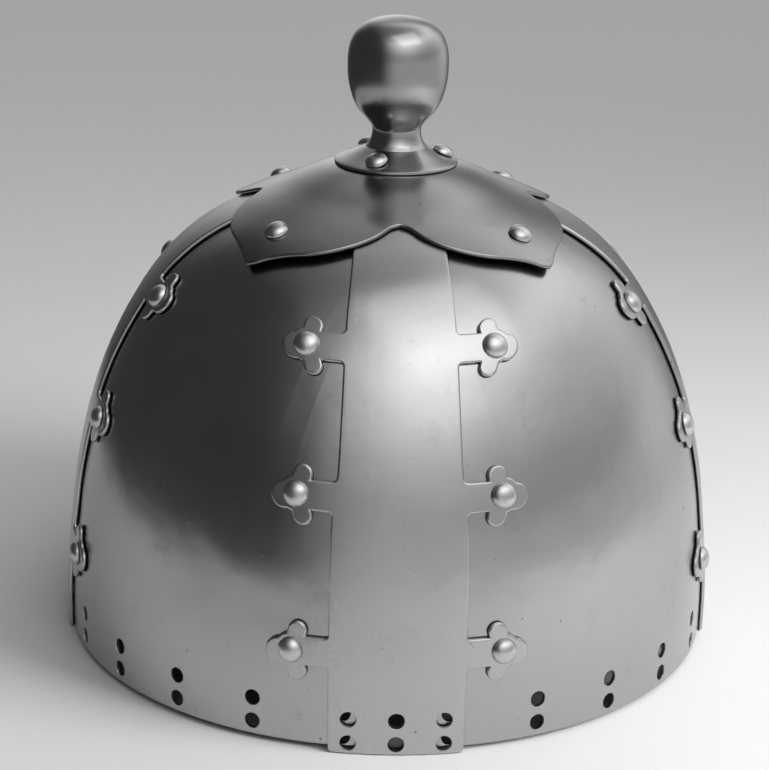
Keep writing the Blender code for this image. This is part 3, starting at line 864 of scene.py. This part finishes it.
def light_room():
    """Soft light from above, from the right and from behind, in a room dark to the left."""
    world = bpy.data.worlds.new("studio")
    bpy.context.scene.world = world
    world.use_nodes = True
    tree = world.node_tree
    toward = Field(tree, tree.nodes.new("ShaderNodeTexCoord").outputs["Generated"])

    def glow(azimuth, height, strength, spread):
        """Round patch of light; a higher spread makes it narrower."""
        a, h = math.radians(azimuth), math.radians(height)
        aim = (math.sin(a) * math.cos(h), -math.cos(a) * math.cos(h), math.sin(h))
        facing = toward.out("VectorMath", {"operation": "DOT_PRODUCT"}, output=1, i0=toward, i1=aim)
        return toward.sum("EXPONENT", (facing - 1.0) * spread) * strength

    across, backward, upward = (
        toward.out("SeparateXYZ", output=axis, Vector=toward) for axis in range(3)
    )
    panel = (across - backward * 0.15).ease(-0.60, 0.10, 0.0, 1.0)
    panel = panel * backward.ease(0.55, 0.95, 1.0, 0.0)
    panel = panel * 1.4 * upward.ramp(
        (0.0, 0.40), (0.10, 0.23), (0.31, 0.36), (0.47, 0.52),
        (0.60, 0.76), (0.72, 0.92), (0.86, 0.52), (1.0, 0.18))
    room = panel + glow(azimuth=20.0, height=36.0, strength=0.45, spread=12.0)
    room = room + glow(azimuth=127.0, height=16.0, strength=0.50, spread=10.0)
    room = room + glow(azimuth=180.0, height=8.0, strength=1.0, spread=30.0)
    room = room + glow(azimuth=188.0, height=24.0, strength=0.45, spread=30.0)
    room = room + 0.055
    back = tree.nodes["Background"]
    back.inputs["Color"].default_value = (1.0, 1.0, 1.0, 1.0)
    tree.links.new(room.socket, back.inputs["Strength"])
    soft_light("key_light", place=(0.30, -0.44, 1.16), aim=(0.0, 0.0, 0.10), size=0.94,
               power=2.2)
    table = soft_light("table_light", place=(0.85, -0.45, 0.45), aim=(0.33, -0.18, 0.0),
                       size=0.6, power=3.4)
    table.data.spread = math.radians(65.0)
    table.visible_glossy = False
    bpy.context.scene.view_settings.view_transform = "Standard"


def set_camera():
    """Camera in front of the helmet and above it, looking down and leaning a little."""
    turn = math.radians(CAMERA_TURN)
    tilt = math.radians(CAMERA_TILT)
    roll = math.radians(CAMERA_ROLL)
    level_share = math.cos(tilt)
    ahead = Vector((math.sin(turn) * level_share, math.cos(turn) * level_share, -math.sin(tilt)))
    level = Vector((math.cos(turn), -math.sin(turn), 0.0))
    above = level.cross(ahead)
    right = level * math.cos(roll) + above * math.sin(roll)
    up = above * math.cos(roll) - level * math.sin(roll)
    lens = bpy.data.cameras.new("camera")
    lens.sensor_fit = "HORIZONTAL"
    lens.sensor_width = SENSOR_WIDTH
    lens.lens = CAMERA_LENS
    lens.clip_start = 0.01
    camera = bpy.data.objects.new("camera", lens)
    turned = Matrix((right, up, -ahead)).transposed().to_4x4()
    camera.matrix_world = Matrix.Translation(CAMERA_PLACE) @ turned
    bpy.context.scene.collection.objects.link(camera)
    bpy.context.scene.camera = camera


def dress():
    """Finish every sheet, rivet and the finial, each in its own iron."""
    # Plate iron carries painted shade where the bands cover the plates
    plate_iron = iron("plate_iron", light=(0.47, 0.47, 0.475), dark=(0.41, 0.41, 0.415),
                      roughness=0.24, shade_under_bands=True)
    band_iron = iron("band_iron", light=(0.51, 0.51, 0.51), dark=(0.45, 0.45, 0.45),
                     roughness=0.27)
    cap_iron = iron("cap_iron", light=(0.33, 0.33, 0.335), dark=(0.27, 0.27, 0.275),
                    roughness=0.20)
    finial_iron = iron("finial_iron", light=(0.42, 0.42, 0.425), dark=(0.35, 0.35, 0.355),
                       roughness=0.22)
    rivet_iron = iron("rivet_iron", light=(0.66, 0.66, 0.66), dark=(0.50, 0.50, 0.50),
                      roughness=0.30, dents=7.0)
    for index, name in enumerate(("front", "right", "back", "left")):
        make_band("band_" + name, index * QUARTER, band_iron)
        make_tab_rivets(name, index * QUARTER, rivet_iron)
    plates = (("front_right", 0.5, 1), ("back_right", 1.5, -1),
              ("back_left", 2.5, 1), ("front_left", 3.5, -1))
    for name, turns, forward in plates:
        make_plate("plate_" + name, turns * QUARTER, forward, plate_iron)
    make_cap(cap_iron)
    make_cap_rivets(rivet_iron)
    make_finial(finial_iron, rivet_iron)


dress()
make_floor()
light_room()
set_camera()
